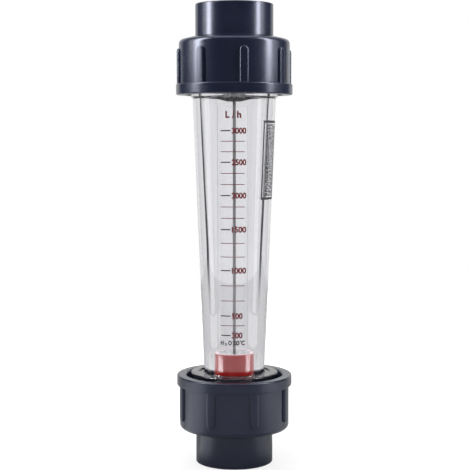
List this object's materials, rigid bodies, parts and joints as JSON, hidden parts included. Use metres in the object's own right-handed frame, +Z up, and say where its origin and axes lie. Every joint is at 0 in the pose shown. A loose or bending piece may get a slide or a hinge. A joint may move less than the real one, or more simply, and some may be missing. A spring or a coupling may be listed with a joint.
{
  "type": "rotameter",
  "caption": "Short clear-tube in-line rotameter: red float on a guide rod in a tapered tube with a flow scale, and a ribbed union nut and pipe socket at each end.",
  "frame": {"origin": "centre of the lower pipe socket's end face, on the meter's axis", "axes": "+Z up along the tube's axis, in the flow direction; the scale faces -Y; +X to the reader's right"},
  "size_m": [0.0749, 0.0748, 0.2964],
  "materials": {
    "union_pvc": "moulded dark blue-grey rigid PVC, satin gloss",
    "clear_tube": "clear moulded styrene-acrylonitrile, polished",
    "printed_film": "clear adhesive film",
    "steel": "turned stainless steel",
    "seat_plastic": "moulded dark plastic",
    "pale_plastic": "moulded natural plastic, uncoloured",
    "float_red": "moulded red plastic",
    "seal_rubber": "black nitrile rubber"
  },
  "bodies": {
    "lower_end": {"lower_tailpiece": "union_pvc", "lower_o_ring": "seal_rubber"},
    "lower_nut": {"lower_union_nut": "union_pvc"},
    "tube": {"metering_tube": "clear_tube", "scale_film": "printed_film", "side_label": "printed_film", "guide_rod": "steel", "lower_guide_seat": "seat_plastic", "upper_guide_seat": "pale_plastic", "lower_bumper": "seal_rubber", "upper_bumper": "seal_rubber", "lower_rod_washer": "steel", "upper_rod_washer": "steel", "lower_rod_nut": "steel", "upper_rod_nut": "steel"},
    "float": {"float_cap": "float_red", "float_weight": "steel"},
    "upper_end": {"upper_tailpiece": "union_pvc", "upper_o_ring": "seal_rubber"},
    "upper_nut": {"upper_union_nut": "union_pvc"}
  },
  "joints": [
    {"name": "lower_nut_turn", "type": "hinge", "parent": "lower_end", "child": "lower_nut", "pos_m": [0, 0, 0.04], "axis": [0, 0, -1], "range_deg": [0, 1440]},
    {"name": "tube_lift", "type": "slide", "parent": "lower_end", "child": "tube", "axis": [0, 0, 1], "range_m": [0, 0.012]},
    {"name": "float_rise", "type": "slide", "parent": "tube", "child": "float", "axis": [0, 0, 1], "range_m": [0, 0.1621]},
    {"name": "upper_end_lift", "type": "slide", "parent": "tube", "child": "upper_end", "axis": [0, 0, 1], "range_m": [0, 0.012]},
    {"name": "upper_nut_turn", "type": "hinge", "parent": "upper_end", "child": "upper_nut", "pos_m": [0, 0, 0.2564], "axis": [0, 0, 1], "range_deg": [0, 1440]}
  ],
  "couplings": [
    {"joint": "tube_lift", "follows": "lower_nut_turn", "m_per_rad": 0.00047746},
    {"joint": "upper_end_lift", "follows": "upper_nut_turn", "m_per_rad": 0.00047746}
  ]
}
